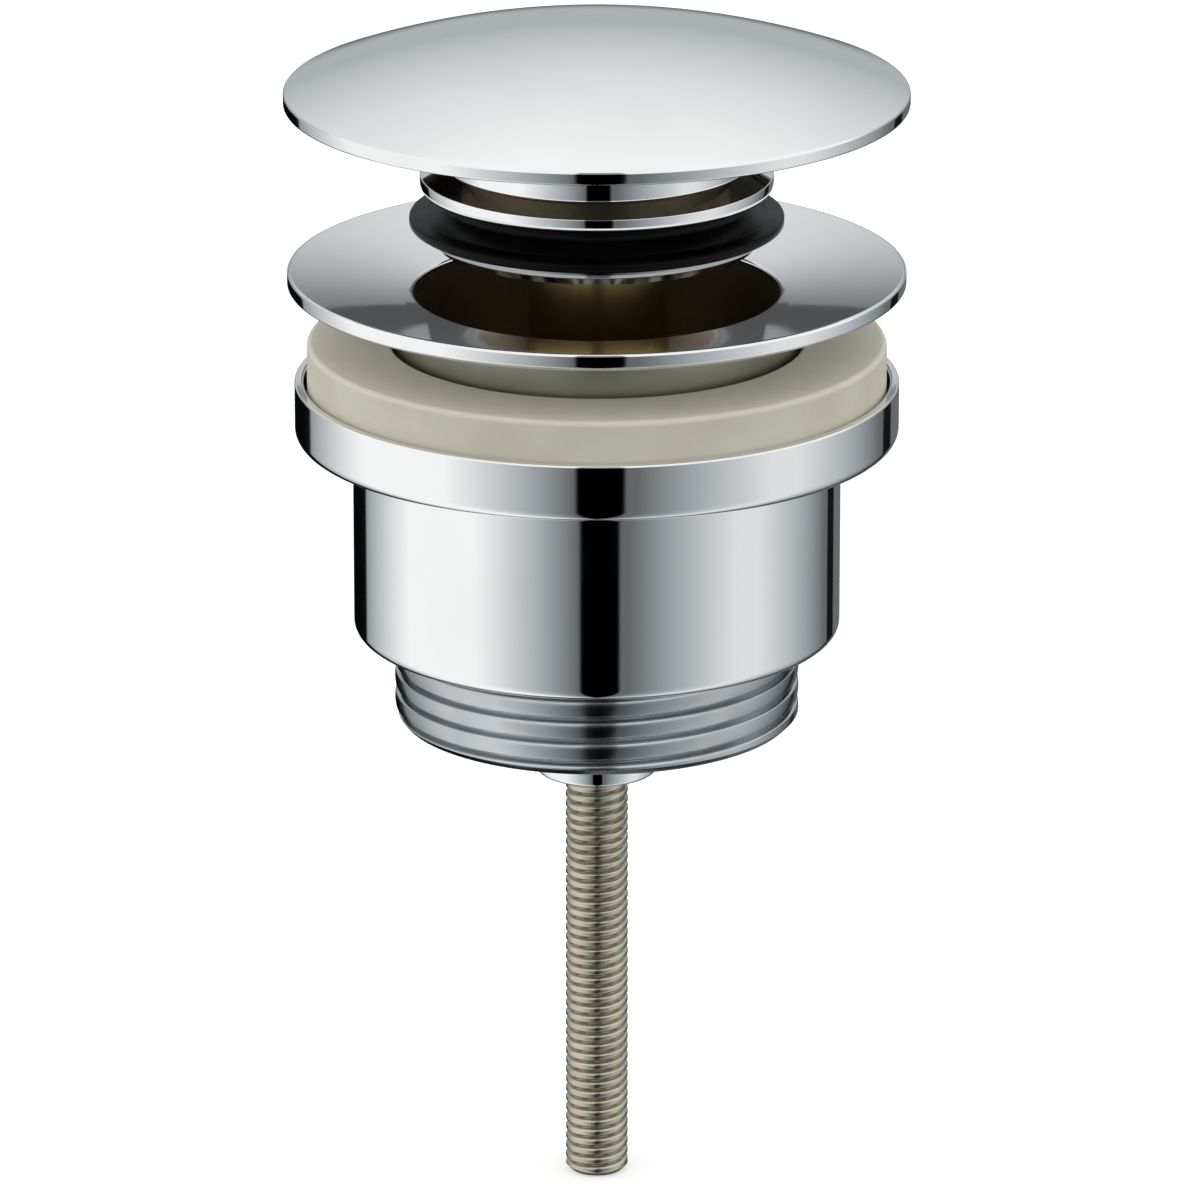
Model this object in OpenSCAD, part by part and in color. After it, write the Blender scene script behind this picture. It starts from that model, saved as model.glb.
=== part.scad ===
// Pop up basin waste: push-open plug on a click cartridge, dished flange with spigot,
// seal ring, and a lower body that screws up a long stud to clamp the basin.
// Millimetres, +Z up. Origin: centre of the plane under the flange's rim, where it seats on the basin.

/* [Plug] */
// Diameter of the domed cap
cap_d = 64; // [56:0.5:70]
// Height of the cap's straight rim
cap_rim_h = 1.4; // [1:0.1:2.5]
// Rise of the dome above the rim
cap_dome_h = 6.1; // [4:0.1:8]
// Depth of the recess under the cap
cap_recess_h = 1.6; // [0.8:0.1:2.2]
// Width of the foot around the recess
cap_foot_w = 2.4; // [1.5:0.1:4]
// Height of the cap's underside above the seat plane, plug open
cap_z = 18.95; // [18.5:0.05:22]
// Diameter of the neck under the cap
neck_d = 30.8; // [28:0.2:33]
// Height of the slope from the disc's edge up to the neck
flare_h = 1; // [0.6:0.1:2]
// Diameter of the disc above the seal
disc_d = 36.2; // [34:0.2:37]
// Height of the disc's sharp upper edge, plug open
disc_z = 11.6; // [11:0.1:12.4]
// Straight edge of the disc
disc_land = 0.4; // [0.2:0.1:0.8]
// Radius of the disc's rounded underside
disc_round = 1.5; // [0.8:0.1:1.9]
// Height of the rubber seal
seal_h = 3.6; // [2.8:0.1:4.5]
// Diameter of the seat inside the seal
seal_seat_d = 23; // [20:0.5:26]
// Diameter of the rubber lip
lip_d = 38.4; // [38.2:0.1:40]
// Thickness of the rubber lip at its edge
lip_t = 1; // [0.6:0.05:1.2]
// Rise of the lip's lower edge above the seal's bottom
lip_rise = 0.15; // [0.1:0.05:0.3]
// Diameter of the retainer under the seal
retainer_d = 34.6; // [32:0.2:36]
// Height of the retainer
retainer_h = 1.75; // [1.2:0.05:2]
// Bevel of the retainer's lower edge
retainer_bevel = 0.8; // [0.4:0.1:1]

/* [Flange] */
// Diameter of the flange
flange_d = 63.5; // [58:0.5:70]
// Thickness of the flange's rim
rim_t = 1.6; // [1.2:0.1:2.4]
// Dish of the flange's top, degrees
dish_angle = 10.9; // [4:0.1:13]
// Bore of the spigot
bore_d = 37.6; // [37:0.1:38]
// Broken edge of the mouth
mouth_round = 0.4; // [0.3:0.05:0.6]
// Wall of the spigot
spigot_wall = 1.9; // [1.6:0.05:2.2]
// Length of the spigot below the seat plane
spigot_len = 29; // [26:0.5:31]
// Inner diameter of the flat seat under the rim
seat_in_d = 56; // [50:0.5:58]
// Depth of the cone between seat and spigot
skirt_depth = 2.4; // [1.8:0.1:3]
// Thickness of the gasket under the rim
gasket_t = 0.6; // [0.5:0.1:1.2]
// Width of the gasket
gasket_w = 2.2; // [2:0.1:3.5]
// Diameter of the hub inside the spigot
top_hub_d = 16; // [14.5:0.5:18]
// Height of the hub inside the spigot
top_hub_h = 12.2; // [12:0.1:13]
// Width of the arms inside the spigot
arm_w = 3.6; // [2.5:0.1:5]
// Height of the arms inside the spigot
arm_h = 5; // [3:0.1:6]

/* [Lower body] */
// Outer diameter of the cup
cup_d = 62.2; // [58:0.2:66]
// Wall of the cup
cup_wall = 0.95; // [0.8:0.05:1.5]
// Thickness of the cup's floor
cup_floor_t = 1.3; // [1:0.05:1.6]
// Depth of the cup's rim below the seat plane
cup_top = 10.28; // [9:0.02:12]
// Height of the cup outside
cup_h = 6.1; // [5:0.1:8]
// Rounding of the cup's lower edge
cup_round = 1.2; // [0.6:0.1:1.3]
// Outer diameter of the barrel
barrel_d = 50.3; // [48:0.1:54]
// Depth of the barrel's lower face below the seat plane
barrel_end = 37.2; // [36:0.1:42]
// Rounding of the barrel's lower edge
barrel_round = 1.2; // [1:0.1:2.2]
// Floor of the barrel around the tail
barrel_floor_t = 1.9; // [1.5:0.1:3]
// Diameter over the trap thread's crests
thread_d = 41.91; // [41.55:0.01:41.91]
// Pitch of the trap thread
thread_pitch = 2.309; // [2:0.001:2.4]
// Depth of the trap thread's grooves
thread_depth = 0.7; // [0.5:0.05:1.48]
// Distance from the barrel to the first groove
groove_start = 3.15; // [2.6:0.05:4]
// Length of the threaded tail
tail_len = 9.6; // [8.4:0.1:14]
// Chamfer at the tail's end
tail_chamfer = 0.9; // [0.3:0.1:1.2]
// Bore of the tail
tail_bore_d = 35.2; // [32:0.2:36]
// Diameter of the screw hub under the tail
hub_d = 12.6; // [11:0.2:16]
// Reach of the screw hub below the tail
hub_reach = 6; // [3:0.1:9]
// Reach of the screw hub up into the tail
hub_rise = 5.6; // [4.8:0.1:6.4]
// Broken edge of the screw hub
hub_bevel = 0.4; // [0.2:0.1:0.6]
// Width of the arms inside the tail
low_arm_w = 4; // [3:0.1:5]
// Height of the arms inside the tail
low_arm_h = 4; // [3:0.1:4.5]
// Distance of those arms from the tail's end
low_arm_inset = 0.6; // [0.3:0.1:1]

/* [Seal ring] */
// Stand of the ring's top above the cup's rim
ring_stand = 4.2; // [3:0.1:5]
// Rounding of the ring's outer edge
ring_round = 0.6; // [0.5:0.1:1.5]
// Thickness of the washer under the ring
slip_t = 0.6; // [0.4:0.1:1]

/* [Stud] */
// Diameter over the stud's crests
stud_d = 6.5; // [6:0.05:6.6]
// Pitch of the stud's thread
stud_pitch = 1.058; // [1:0.002:1.1]
// Depth of the stud's grooves
stud_depth = 0.5; // [0.3:0.05:0.6]
// Point at the stud's end
stud_point = 0.6; // [0.3:0.1:1]
// Depth of the stud's free end below the seat plane
stud_end = 97.2; // [80:0.2:120]
// Length of the stud screwed into the hub
stud_grip = 6.2; // [5:0.1:6.4]
// Width across the flats of the lock nut
nut_af = 10; // [9:0.5:11]
// Height of the lock nut
nut_h = 2.8; // [2.4:0.1:3]

/* [Cartridge] */
// Outer diameter of the brass cartridge
cart_d = 14.2; // [14:0.1:14.6]
// Height of the cartridge's top above the seat plane
cart_top = 4; // [3:0.1:4.2]
// Wall of the cartridge around the latch
cart_wall = 1.1; // [0.9:0.05:1.3]
// Thickness of the cartridge's floor
cart_floor_t = 2; // [1.5:0.1:2.5]
// Diameter of the cartridge's stem
stem_d = 10; // [9:0.1:10.5]
// Length of the cartridge's stem
stem_len = 5.5; // [4.5:0.1:5.8]
// Thickness of the washer under the cartridge
washer_t = 0.8; // [0.5:0.1:1]
// Height of the gland
gland_h = 3.5; // [3.3:0.1:4.2]
// Lip of the gland over the O-ring
gland_lip = 0.25; // [0.2:0.05:0.3]
// Diameter of the guide bush
bush_d = 8.4; // [8.2:0.1:9]
// Height of the guide bush
bush_h = 2.1; // [1.6:0.1:2.1]
// Diameter of the plunger's shaft
shaft_d = 6; // [5:0.1:6.4]
// Length of the shaft screwed into the cap
shaft_grip = 3.55; // [2.5:0.05:4.5]
// Diameter of the stop collar on the shaft
collar_d = 9.2; // [8:0.1:11]
// Height of the stop collar
collar_h = 1.2; // [0.8:0.1:1.6]
// Radial room between the plunger's head and the cartridge's bore
head_gap = 1.4; // [1.3:0.05:1.5]
// Diameter of the latch ball
ball_d = 2; // [1.8:0.1:2.2]
// Height of the latch ring
latch_h = 3; // [2.6:0.1:3.6]
// Turn of the latch ring over one full press, degrees
latch_turn = 36; // [20:1:45]
// Wall of the plunger's head behind the track
track_wall = 0.5; // [0.3:0.05:0.6]
// Ends of the plunger's head beyond the track
head_margin = 0.85; // [0.6:0.05:1.2]
// Wire of the return spring
wire_d = 0.6; // [0.5:0.05:0.7]
// Coils of the return spring
spring_coils = 8; // [6:1:10]
// Roof of the plunger's hollow
head_roof = 1.2; // [0.8:0.1:2]
// Room under the plunger's head when the plug is shut
head_room = 2; // [1.5:0.1:4]

/* [Fits] */
// Gap left under the lip when the plug is shut
seal_gap = 0.15; // [0.1:0.05:0.3]
// Radial gap between the spigot and the barrel's bore
spigot_gap = 0.9; // [0.5:0.05:1.2]
// Radial gap between the spigot and the seal ring's bore
ring_bore_gap = 0.5; // [0.3:0.05:2]
// Radial gap between the seal ring and the cup's wall
ring_gap = 0.35; // [0.25:0.05:0.6]
// Radial gap between the cartridge and the plug's hollow
hollow_gap = 0.5; // [0.4:0.05:0.8]
// Room above the cartridge when the plug is shut
hollow_room = 0.9; // [0.5:0.1:1.5]
// Radial gap of a running fit
run_gap = 0.06; // [0.02:0.01:0.1]
// Radial gap between pieces that pass each other freely
free_gap = 0.3; // [0.25:0.05:0.5]
// End play of the latch ring
end_play = 0.1; // [0.05:0.05:0.2]
// Gap between the latch ball and its track
track_gap = 0.13; // [0.1:0.01:0.2]

/* [Hidden] */
$fn = 96;

chrome = [0.82, 0.83, 0.84];
brass = [0.72, 0.55, 0.28];
rubber = [0.07, 0.07, 0.07];
cream = [0.87, 0.84, 0.74];
steel = [0.66, 0.64, 0.6];
nylon = [0.9, 0.9, 0.86];

eps = 0.01;
past = 1;
arm_count = 4;
arm_turn = 45;
groove_count = 3;
groove_share = 0.2;
groove_flat_share = 0.05;
track_steps = 12;
edge_break = rim_t * 0.2;
lip_edge = lip_t / 3;

flange_r = flange_d / 2;
bore_r = bore_d / 2;
spigot_r = bore_r + spigot_wall;
seat_in_r = seat_in_d / 2;
dish_slope = tan(dish_angle);
dish_r = flange_r - edge_break;
mouth_z = rim_t - (dish_r - bore_r) * dish_slope;

disc_r = disc_d / 2;
neck_r = neck_d / 2;
seal_seat_r = seal_seat_d / 2;
seal_hub_r = disc_r - disc_round - lip_t - eps;
disc_under = disc_z - disc_land - disc_round;
seal_bottom = disc_under - seal_h;
cap_r = cap_d / 2;
dome_r = (cap_r * cap_r + cap_dome_h * cap_dome_h) / (2 * cap_dome_h);
cap_apex = cap_z + cap_rim_h + cap_dome_h;
cap_pad_r = neck_r + cap_recess_h;
lip_r = lip_d / 2;
lip_bottom = seal_bottom + lip_rise;
lip_top = lip_bottom + lip_t;
retainer_r = retainer_d / 2;
retainer_bottom = seal_bottom - retainer_h;
plug_bottom = retainer_bottom + retainer_bevel / 2;
seat_z = rim_t - (dish_r - lip_r) * dish_slope;
press_travel = lip_bottom - seat_z - seal_gap;

shaft_r = shaft_d / 2;
collar_r = collar_d / 2;
cart_r = cart_d / 2;
cavity_r = cart_r + hollow_gap;
cavity_top = cart_top + press_travel + collar_h + hollow_room;
shaft_top = cap_z + shaft_grip;
gland_z = cart_top - gland_h;
bush_r = bush_d / 2;
cart_bore_r = cart_r - cart_wall;
head_r = cart_bore_r - head_gap;
head_top = gland_z - free_gap;
ball_r = ball_d / 2;
ball_z = head_top - press_travel - ball_r - head_margin;
latch_in_r = head_r + free_gap;
latch_out_r = cart_bore_r - run_gap;
latch_low = ball_z - latch_h / 2;
latch_high = ball_z + latch_h / 2;
ball_orbit = latch_out_r - ball_r - run_gap;
track_r = ball_r + track_gap;
track_floor = ball_orbit - ball_r - track_gap;
head_end = ball_z - ball_r - head_margin;
head_hollow_r = track_floor - track_wall;
spring_top = head_top - head_roof;
spring_r = head_hollow_r - free_gap - wire_d / 2;
cart_floor = head_end - press_travel - head_room;
cart_shoulder = cart_floor - cart_floor_t;
stem_r = stem_d / 2;
o_ring_r = (bush_r - shaft_r - 2 * run_gap) / 2;
o_ring_orbit = shaft_r + run_gap + o_ring_r;

top_hub_z = cart_shoulder - washer_t;
top_hub_r = top_hub_d / 2;
top_hub_end = top_hub_z - top_hub_h;
stud_r = stud_d / 2;
stud_top = top_hub_end + stud_grip;
stud_low = -stud_end;
stud_land = stud_pitch * 0.2;
stud_flank = stud_pitch * 0.3;
stud_turns = floor((stud_top - stud_low - stud_point) / stud_pitch) - 1;

cup_r = cup_d / 2;
cup_in_r = cup_r - cup_wall;
cup_low = -cup_top - cup_h;
cup_floor = cup_low + cup_floor_t;
body_bore_r = spigot_r + spigot_gap;
barrel_r = barrel_d / 2;
bore_floor = barrel_floor_t - barrel_end;
thread_r = thread_d / 2;
tail_end = -barrel_end - tail_len;
first_groove = -barrel_end - groove_start;
groove_half = groove_share * thread_pitch;
groove_flat = groove_flat_share * thread_pitch;
tail_bore_r = tail_bore_d / 2;
hub_r = hub_d / 2;
hub_low = tail_end - hub_reach;
hub_top = tail_end + hub_rise;
low_arm_z = tail_end + low_arm_inset;

ring_r = cup_in_r - ring_gap;
ring_bore_r = spigot_r + ring_bore_gap;
ring_top = -cup_top + ring_stand;
ring_low = cup_floor + slip_t;

// A ring of rectangular section between two radii and two heights.
module tube(in_r, out_r, low, high) {
    translate([0, 0, low])
    difference() {
        cylinder(r = out_r, h = high - low);
        translate([0, 0, -eps])
        cylinder(r = in_r, h = high - low + 2 * eps);
    }
}

// A solid round between two heights.
module rod(r, low, high) {
    translate([0, 0, low])
    cylinder(r = r, h = high - low);
}

// Half profile of a round whose lower outer edge is rounded.
module rounded_foot(r, low, high, round_r) {
    translate([0, low + round_r])
    square([r, high - low - round_r]);
    translate([0, low])
    square([r - round_r, round_r + eps]);
    translate([r - round_r, low + round_r])
    circle(r = round_r);
}

// Straight arms from a hub out to a wall.
module spider(out_r, low, height, width) {
    for (i = [0 : arm_count / 2 - 1])
        rotate([0, 0, arm_turn + i * 360 / arm_count])
        translate([-out_r, -width / 2, low])
        cube([2 * out_r, width, height]);
}

// Domed cap with a straight rim, a shallow recess underneath and a blind hole for the plunger.
module cap() {
    color(chrome)
    difference() {
        rotate_extrude()
        intersection() {
            translate([0, cap_apex - dome_r])
            circle(r = dome_r, $fn = 240);
            translate([0, cap_z])
            square([cap_r, cap_apex - cap_z + past]);
        }
        tube(cap_pad_r, cap_r - cap_foot_w, cap_z - eps, cap_z + cap_recess_h);
        rod(shaft_r, cap_z - eps, shaft_top);
    }
}

// Neck that flares into a disc, with the seal's seat and the cartridge's hollow below it.
module plug_body() {
    color(chrome)
    difference() {
        union() {
            rod(neck_r, disc_z, cap_z);
            translate([0, 0, disc_z])
            cylinder(r1 = disc_r, r2 = neck_r, h = flare_h);
            rotate_extrude()
            rounded_foot(disc_r, disc_under, disc_z, disc_round);
            rod(seal_seat_r, plug_bottom, disc_z);
        }
        rod(cavity_r, plug_bottom - past, cavity_top);
        rod(shaft_r, cavity_top - eps, cap_z + past);
    }
}

// Rubber seal with a thin dished lip.
module plug_seal() {
    color(rubber)
    rotate_extrude()
    polygon([
        [seal_seat_r, seal_bottom],
        [seal_hub_r, seal_bottom],
        [lip_r - lip_edge, lip_bottom],
        [lip_r, lip_bottom + lip_edge],
        [lip_r, lip_top - lip_edge],
        [lip_r - lip_edge, lip_top],
        [seal_hub_r + 2 * lip_t, lip_top + lip_rise],
        [seal_hub_r, lip_top + 1.5 * lip_t],
        [seal_hub_r, disc_under],
        [seal_seat_r, disc_under]
    ]);
}

// Bevelled ring that holds the seal up against the disc.
module seal_retainer() {
    color(chrome)
    rotate_extrude()
    polygon([
        [seal_seat_r, retainer_bottom],
        [retainer_r - retainer_bevel, retainer_bottom],
        [retainer_r, retainer_bottom + retainer_bevel],
        [retainer_r, seal_bottom],
        [seal_seat_r, seal_bottom]
    ]);
}

// Shaft with a stop collar and a hollow head whose slanting track guides the latch ball.
module plunger() {
    color(steel)
    difference() {
        union() {
            rod(shaft_r, head_top - eps, shaft_top);
            rod(collar_r, cavity_top - collar_h, cavity_top);
            rod(head_r, head_end, head_top);
        }
        rod(head_hollow_r, head_end - past, spring_top);
        for (i = [0 : track_steps])
            rotate([0, 0, i / track_steps * latch_turn])
            translate([track_floor, 0, ball_z + i / track_steps * press_travel])
            rotate([0, 90, 0])
            cylinder(r = track_r, h = head_r);
    }
}

// Brass cartridge: stepped bore for the latch and the spring, threaded stem below.
module cartridge_body() {
    color(brass)
    difference() {
        union() {
            rod(cart_r, cart_shoulder, cart_top);
            rod(stem_r, cart_shoulder - stem_len, cart_shoulder + eps);
        }
        rod(cart_bore_r, latch_low - end_play, cart_top + past);
        rod(latch_in_r, cart_floor, cart_top);
    }
}

// Gland screwed into the top of the cartridge, seated for the bush and the shaft's O-ring.
module cartridge_gland() {
    color(brass)
    difference() {
        rod(cart_bore_r, gland_z, cart_top);
        rod(bush_r, gland_z - past, cart_top - gland_lip);
        rod(shaft_r + free_gap, gland_z, cart_top + past);
    }
}

// Plastic bush the shaft slides in.
module guide_bush() {
    color(nylon)
    tube(shaft_r + run_gap, bush_r, gland_z, gland_z + bush_h);
}

// O-ring that wipes the shaft.
module shaft_o_ring() {
    color(rubber)
    translate([0, 0, gland_z + bush_h + o_ring_r])
    rotate_extrude()
    translate([o_ring_orbit, 0])
    circle(r = o_ring_r);
}

// Sleeve that keeps the latch ring down on its step.
module spacer_sleeve() {
    color(brass)
    tube(head_r + free_gap, cart_bore_r, latch_high + end_play, gland_z);
}

// Coil spring under the plunger, with flat-sided wire.
module return_spring() {
    length = spring_top - cart_floor;
    lead = (length - wire_d) / spring_coils;
    sweep = wire_d / lead * 360;
    parts = 5;
    ends = [for (i = [0 : parts]) [cos(i / parts * sweep), sin(i / parts * sweep)]];
    color(steel)
    translate([0, 0, cart_floor])
    linear_extrude(height = length, twist = -360 * length / lead, slices = spring_coils * 14, $fn = 12)
    polygon(concat(
        [for (i = [0 : parts]) (spring_r + wire_d / 2) * ends[i]],
        [for (i = [parts : -1 : 0]) (spring_r - wire_d / 2) * ends[i]]
    ));
}

// Fibre washer under the cartridge's shoulder.
module cartridge_washer() {
    color(nylon)
    tube(stem_r, cart_r, top_hub_z, cart_shoulder);
}

// Ring that turns in the cartridge as the ball follows the plunger's track.
module latch_ring() {
    color(steel)
    difference() {
        tube(latch_in_r, latch_out_r, latch_low, latch_high);
        translate([0, 0, ball_z])
        rotate([0, 90, 0])
        cylinder(r = ball_r, h = cart_r);
    }
}

// Steel ball held by the latch ring in the plunger's track.
module latch_ball() {
    color(steel)
    translate([ball_orbit, 0, ball_z])
    sphere(r = ball_r);
}

// Dished flange with its spigot, and a spider that carries the cartridge and the stud.
module flange() {
    color(chrome)
    difference() {
        union() {
            rotate_extrude()
            polygon([
                [bore_r, -spigot_len],
                [spigot_r, -spigot_len],
                [spigot_r, -skirt_depth],
                [seat_in_r, 0],
                [flange_r, 0],
                [flange_r, rim_t - edge_break],
                [dish_r, rim_t],
                [bore_r + mouth_round, mouth_z + mouth_round * dish_slope],
                [bore_r, mouth_z - mouth_round]
            ]);
            rod(top_hub_r, top_hub_end, top_hub_z);
            spider(bore_r + eps, -spigot_len, arm_h, arm_w);
        }
        rod(stem_r, cart_shoulder - stem_len, top_hub_z + past);
        rod(stud_r, top_hub_end - past, stud_top);
    }
}

// Thin gasket under the flange's rim.
module flange_gasket() {
    color(cream)
    tube(seat_in_r, seat_in_r + gasket_w, -gasket_t, 0);
}

// Long threaded stud, screwed into the flange's hub.
module stud() {
    first = stud_low + stud_point + stud_land;
    steps = [0, stud_flank, stud_flank + stud_land, 2 * stud_flank + stud_land];
    depths = [0, stud_depth, stud_depth, 0];
    color(steel)
    rotate_extrude()
    polygon(concat(
        [[0, stud_low], [stud_r - stud_point, stud_low], [stud_r, stud_low + stud_point]],
        [for (i = [0 : stud_turns - 1], k = [0 : 3]) [stud_r - depths[k], first + i * stud_pitch + steps[k]]],
        [[stud_r, stud_top], [0, stud_top]]
    ));
}

// Thin nut that locks the stud under the flange's hub.
module stud_lock_nut() {
    color(brass)
    translate([0, 0, top_hub_end - nut_h])
    difference() {
        cylinder(d = nut_af / cos(30), h = nut_h, $fn = 6);
        translate([0, 0, -eps])
        cylinder(r = stud_r, h = nut_h + 2 * eps);
    }
}

// Soft ring that seals against the underside of the basin.
module seal_ring() {
    color(cream)
    difference() {
        rotate_extrude()
        mirror([0, 1])
        rounded_foot(ring_r, -ring_top, -ring_low, ring_round);
        rod(ring_bore_r, ring_low - past, ring_top + past);
    }
}

// Slippery washer that lets the cup turn under the seal ring.
module slip_washer() {
    color(nylon)
    tube(ring_bore_r, ring_r, cup_floor, ring_low);
}

// Cup, barrel and threaded tail in one, with a spider whose hub screws along the stud.
module lower_body() {
    color(chrome)
    difference() {
        union() {
            difference() {
                union() {
                    rotate_extrude()
                    rounded_foot(cup_r, cup_low, -cup_top, cup_round);
                    rotate_extrude()
                    rounded_foot(barrel_r, -barrel_end, cup_low + cup_round, barrel_round);
                    rod(thread_r, tail_end + tail_chamfer, -barrel_end + eps);
                    translate([0, 0, tail_end])
                    cylinder(r1 = thread_r - tail_chamfer, r2 = thread_r, h = tail_chamfer);
                }
                rod(cup_in_r, cup_floor, 0);
                rod(body_bore_r, bore_floor, 0);
                rod(tail_bore_r, tail_end - past, 0);
                for (i = [0 : groove_count - 1])
                    trap_groove(first_groove - i * thread_pitch);
            }
            rod(hub_r, hub_low + hub_bevel, hub_top);
            translate([0, 0, hub_low])
            cylinder(r1 = hub_r - hub_bevel, r2 = hub_r, h = hub_bevel);
            spider(tail_bore_r + eps, low_arm_z, low_arm_h, low_arm_w);
        }
        rod(stud_r + run_gap, hub_low - past, hub_top + past);
    }
}

// One groove of the trap thread.
module trap_groove(z) {
    rotate_extrude()
    polygon([
        [thread_r + eps, z - groove_half],
        [thread_r + eps, z + groove_half],
        [thread_r - thread_depth, z + groove_flat],
        [thread_r - thread_depth, z - groove_flat]
    ]);
}

cap();
plug_body();
plug_seal();
seal_retainer();
plunger();
cartridge_body();
cartridge_gland();
guide_bush();
shaft_o_ring();
spacer_sleeve();
return_spring();
cartridge_washer();
latch_ring();
latch_ball();
flange();
flange_gasket();
stud();
stud_lock_nut();
seal_ring();
slip_washer();
lower_body();
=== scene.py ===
"""Looks of the pop up basin waste: turned plated pieces, rubber seals, a rolled stud and a soft studio.

Lengths in the classes are millimetres in the part's own frame, +Z up, with the origin at the centre of
the plane under the flange's rim. Meshes are made in metres.
"""

import logging
import math
from abc import ABC, abstractmethod
from dataclasses import dataclass
from enum import Enum
from typing import Mapping, Sequence, Union

import bmesh
import bpy
from mathutils import Matrix, Vector


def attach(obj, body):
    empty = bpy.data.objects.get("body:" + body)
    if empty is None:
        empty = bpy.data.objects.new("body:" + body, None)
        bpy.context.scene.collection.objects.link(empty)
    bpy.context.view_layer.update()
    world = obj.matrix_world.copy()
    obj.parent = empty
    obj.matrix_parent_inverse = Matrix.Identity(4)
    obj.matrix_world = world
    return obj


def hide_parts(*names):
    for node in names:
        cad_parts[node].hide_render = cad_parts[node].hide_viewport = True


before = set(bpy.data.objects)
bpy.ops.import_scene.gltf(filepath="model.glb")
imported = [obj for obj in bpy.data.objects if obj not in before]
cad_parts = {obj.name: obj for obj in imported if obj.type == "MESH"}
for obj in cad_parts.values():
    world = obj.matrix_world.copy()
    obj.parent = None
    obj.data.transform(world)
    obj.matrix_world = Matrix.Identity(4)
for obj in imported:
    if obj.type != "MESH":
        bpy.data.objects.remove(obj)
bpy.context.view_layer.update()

Colour = tuple[float, float, float]
Settings = Mapping[str, object]
Inputs = Mapping[object, object]

MM = 0.001
TURN = 2.0 * math.pi
SAME_POINT = 1e-7  # metres
SAME_RING = 1e-6  # metres
ON_WALL = 0.01  # millimetres
LOG = logging.getLogger("basin_waste")

WHITE: Colour = (1.0, 1.0, 1.0)
COOL: Colour = (0.935, 1.0, 1.045)
PAPER: Colour = (0.93, 0.93, 0.93)
# Grey of the cards seen only in reflections, which paint shade into the plate.
SHADE_CARD_GREY: Colour = (0.135, 0.142, 0.148)
# Bare brass under the cap, darkened far below real brass as painted shade under the cap.
CAP_BRASS_PAINTED_SHADE: Colour = (0.095, 0.074, 0.047)
BORE_BRASS: Colour = (0.62, 0.54, 0.42)
# Spigot plate under the flange: its darkened olive tint is painted shade; the added roughness is real.
SPIGOT_PLATE_PAINTED_SHADE: Colour = (0.42, 0.42, 0.37)
CUT_PLATE: Colour = (0.57, 0.59, 0.605)
DULL_CHROME: Colour = (0.40, 0.405, 0.41)
JET: Colour = (0.0016, 0.0016, 0.0016)
SOOT: Colour = (0.003, 0.003, 0.003)
CREAM: Colour = (0.735, 0.71, 0.59)
OATMEAL: Colour = (0.68, 0.645, 0.53)
# Pale colour painted on the seal ring's top face as painted light, where the flange above shades it.
RING_TOP_PAINTED_LIGHT: Colour = (0.93, 0.90, 0.775)

# Levels of noise between which a patch comes up.
SMEARS = (0.42, 0.75)
STAINS = (0.3, 0.75)
CLOUDS = (0.3, 0.72)


class Wire:
    """An output socket that can be used in arithmetic.

    Attributes:
        book: the node book that the socket's node belongs to.
        socket: the output socket itself.
    """

    def __init__(self, book: "NodeBook", socket: bpy.types.NodeSocket) -> None:
        """Keeps the socket and its book."""
        self.book = book
        self.socket = socket

    def math(self, operation: str, first: "Term", second: "Term" = 0.0) -> "Wire":
        """Result of one Math node on one or two numbers or wires."""
        return self.book.wire("ShaderNodeMath", {"operation": operation}, {0: first, 1: second})

    def __add__(self, other: "Term") -> "Wire":
        """Sum."""
        return self.math("ADD", self, other)

    def __radd__(self, other: "Term") -> "Wire":
        """Sum with the number first."""
        return self.math("ADD", other, self)

    def __sub__(self, other: "Term") -> "Wire":
        """Difference."""
        return self.math("SUBTRACT", self, other)

    def __rsub__(self, other: "Term") -> "Wire":
        """Difference with the number first."""
        return self.math("SUBTRACT", other, self)

    def __mul__(self, other: "Term") -> "Wire":
        """Product."""
        return self.math("MULTIPLY", self, other)

    def __rmul__(self, other: "Term") -> "Wire":
        """Product with the number first."""
        return self.math("MULTIPLY", other, self)

    def __truediv__(self, other: "Term") -> "Wire":
        """Quotient."""
        return self.math("DIVIDE", self, other)

    def __rtruediv__(self, other: "Term") -> "Wire":
        """Quotient with the number first."""
        return self.math("DIVIDE", other, self)

    def __lt__(self, other: "Term") -> "Wire":
        """One where the wire is below the other value, else zero."""
        return self.math("LESS_THAN", self, other)

    def __gt__(self, other: "Term") -> "Wire":
        """One where the wire is above the other value, else zero."""
        return self.math("GREATER_THAN", self, other)

    def sine(self) -> "Wire":
        """Sine of an angle in radians."""
        return self.math("SINE", self)

    def ease(self, low: float, high: float) -> "Wire":
        """Smooth step.

        Args:
            low: the value at which the step is still zero.
            high: the value at which the step is one.

        Returns:
            A wire between zero and one.
        """
        return self.book.wire(
            "ShaderNodeMapRange",
            {"interpolation_type": "SMOOTHSTEP"},
            {"Value": self, "From Min": low, "From Max": high},
        )


Term = Union[Wire, float]


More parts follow.
